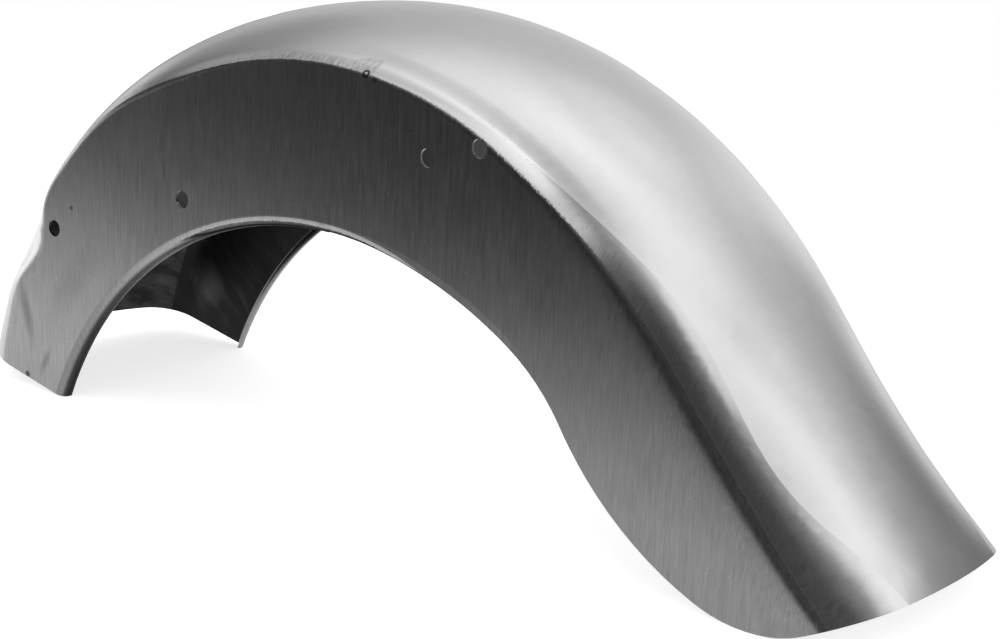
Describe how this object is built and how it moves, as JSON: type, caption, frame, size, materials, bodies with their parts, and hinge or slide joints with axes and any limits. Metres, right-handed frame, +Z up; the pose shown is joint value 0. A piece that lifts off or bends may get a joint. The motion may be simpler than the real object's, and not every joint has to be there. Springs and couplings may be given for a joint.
{
  "type": "motorcycle rear fender",
  "caption": "Raw sheet-steel motorcycle rear fender: domed crown over flat skirts, rolled wheel-arch lips, stepped nose and curved tail, with strut bolt holes in both skirts.",
  "frame": {"origin": "below the middle of the bounding box, on the floor the fender stands on", "axes": "+X rearwards from nose to tail, +Y across towards the right-hand skirt, +Z up"},
  "size_m": [0.6626, 0.1658, 0.2629],
  "materials": {
    "raw_steel": "raw brushed steel, unpainted, satin on the crown"
  },
  "bodies": {
    "root": {"rear_fender": "raw_steel"}
  },
  "joints": []
}
